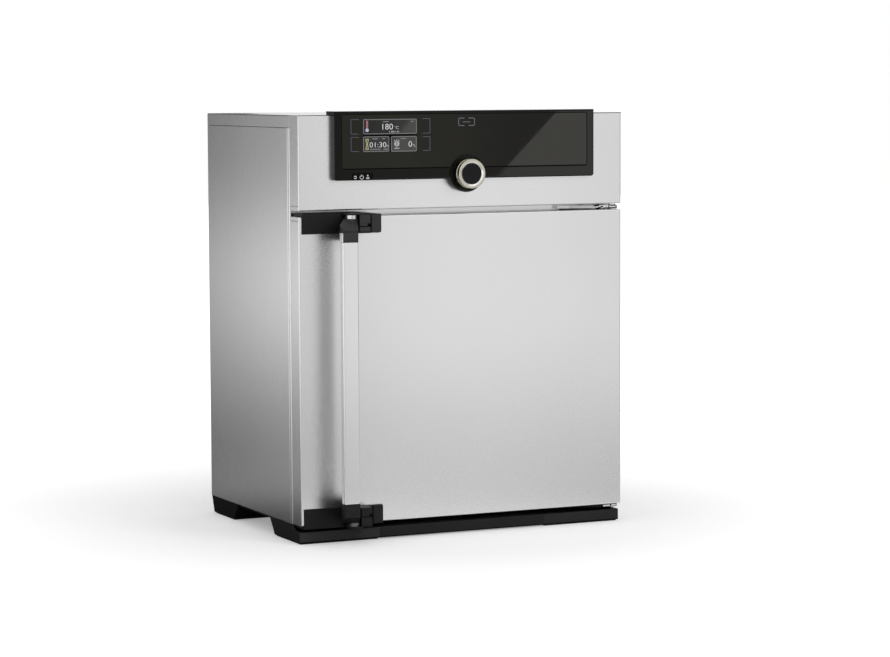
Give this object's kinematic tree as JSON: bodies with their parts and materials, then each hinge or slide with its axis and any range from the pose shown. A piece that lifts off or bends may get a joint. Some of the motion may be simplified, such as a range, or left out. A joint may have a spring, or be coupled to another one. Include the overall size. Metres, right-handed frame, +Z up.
{
  "type": "hot air oven",
  "caption": "Bench-top hot air oven: steel cabinet, side-hinged door with a two-point latch handle, ribbed chamber with a wire shelf, control housing with a knob, and a rear exhaust stub.",
  "frame": {"origin": "centre of the footprint on the bench: midway between the sides and midway between the handle's front and the end of the exhaust stub", "axes": "+X to the right of someone facing the oven, +Y to the rear, +Z up"},
  "size_m": [0.585, 0.49, 0.698],
  "materials": {
    "satin_steel": "fine-textured stainless sheet",
    "zinc_steel": "zinc-coated sheet",
    "chamber_steel": "bright stainless sheet and wire",
    "turned_steel": "turned and cut steel",
    "heater_sheath": "oxidised heater sheath",
    "black_moulding": "fine-grained black moulding",
    "grey_moulding": "dark grey moulding",
    "bearing_plastic": "plain bearing plastic",
    "knob_metal": "champagne anodised",
    "button_face": "matt black",
    "dark_glass": "dark printed front glass",
    "display": "colour display",
    "board": "circuit board",
    "wire_sleeve": "braided sleeve",
    "pad_rubber": "flat rubber",
    "seal_rubber": "silicone profile",
    "wool": "mineral wool"
  },
  "bodies": {
    "cabinet": {"base_tray": "zinc_steel", "chamber": "chamber_steel", "chamber_cradle": "zinc_steel", "control_board": "board", "control_glass": "dark_glass", "control_housing": "black_moulding", "display_module": "display", "exhaust_duct": "chamber_steel", "flap_actuator": "black_moulding", "foot_front_left": "black_moulding", "foot_front_right": "black_moulding", "foot_pads": "pad_rubber", "foot_rear_left": "black_moulding", "foot_rear_right": "black_moulding", "front_frame": "satin_steel", "header_panel": "satin_steel", "heater_rods": "heater_sheath", "hinge_bracket_bottom": "turned_steel", "hinge_bracket_top": "turned_steel", "hinge_pin_bottom": "turned_steel", "hinge_pin_top": "turned_steel", "insulation": "wool", "knob_encoder": "black_moulding", "latch_pocket_bottom": "zinc_steel", "latch_pocket_top": "zinc_steel", "mains_inlet": "black_moulding", "partition_plate": "zinc_steel", "plinth_strip": "black_moulding", "power_board": "board", "power_switch": "black_moulding", "rear_baffle": "chamber_steel", "rear_panel": "zinc_steel", "side_panel_left": "satin_steel", "side_panel_right": "satin_steel", "striker_bottom": "turned_steel", "striker_top": "turned_steel", "temperature_probes": "turned_steel", "top_cover": "satin_steel", "wiring_loom": "wire_sleeve"},
    "door": {"door_outer_panel": "satin_steel", "door_inner_panel": "chamber_steel", "door_insulation": "wool", "door_seal": "seal_rubber", "hinge_bush_top": "bearing_plastic", "hinge_bush_bottom": "bearing_plastic", "latch_housing_top": "black_moulding", "latch_housing_bottom": "black_moulding"},
    "handle": {"handle_bar": "satin_steel", "handle_cap_top": "grey_moulding", "handle_cap_bottom": "grey_moulding", "latch_lever_top": "turned_steel", "latch_lever_bottom": "turned_steel", "handle_pin_top": "turned_steel", "handle_pin_bottom": "turned_steel"},
    "knob": {"knob_ring": "knob_metal"},
    "confirm_key": {"confirm_button": "button_face"},
    "power_key": {"power_button": "black_moulding"},
    "air_flap": {"flap_disc": "chamber_steel", "flap_shaft": "turned_steel"},
    "shelf": {"grid_shelf": "chamber_steel"}
  },
  "joints": [
    {"name": "door_open", "type": "hinge", "parent": "cabinet", "child": "door", "pos_m": [0.284, -0.173, 0.28025], "axis": [0, 0, 1], "range_deg": [0, 110]},
    {"name": "handle_turn", "type": "hinge", "parent": "door", "child": "handle", "pos_m": [-0.208, -0.205, 0.28025], "axis": [0, 0, 1], "range_deg": [-25, 0]},
    {"name": "knob_turn", "type": "hinge", "parent": "cabinet", "child": "knob", "pos_m": [0, -0.209, 0.595], "axis": [0, 1, 0], "continuous": true},
    {"name": "confirm_press", "type": "slide", "parent": "cabinet", "child": "confirm_key", "axis": [0, 1, 0], "range_m": [0, 0.002], "stiffness_N_per_m": 600},
    {"name": "power_press", "type": "slide", "parent": "cabinet", "child": "power_key", "axis": [0, 1, 0], "range_m": [0, 0.0025], "stiffness_N_per_m": 500},
    {"name": "flap_turn", "type": "hinge", "parent": "cabinet", "child": "air_flap", "pos_m": [-0.11, 0.179, 0.4], "axis": [1, 0, 0], "range_deg": [0, 90]},
    {"name": "shelf_slide", "type": "slide", "parent": "cabinet", "child": "shelf", "axis": [0, -1, 0], "range_m": [0, 0.15]}
  ],
  "couplings": [
    {"joint": "shelf_slide", "follows": "door_open", "m_per_rad": 0.078}
  ]
}
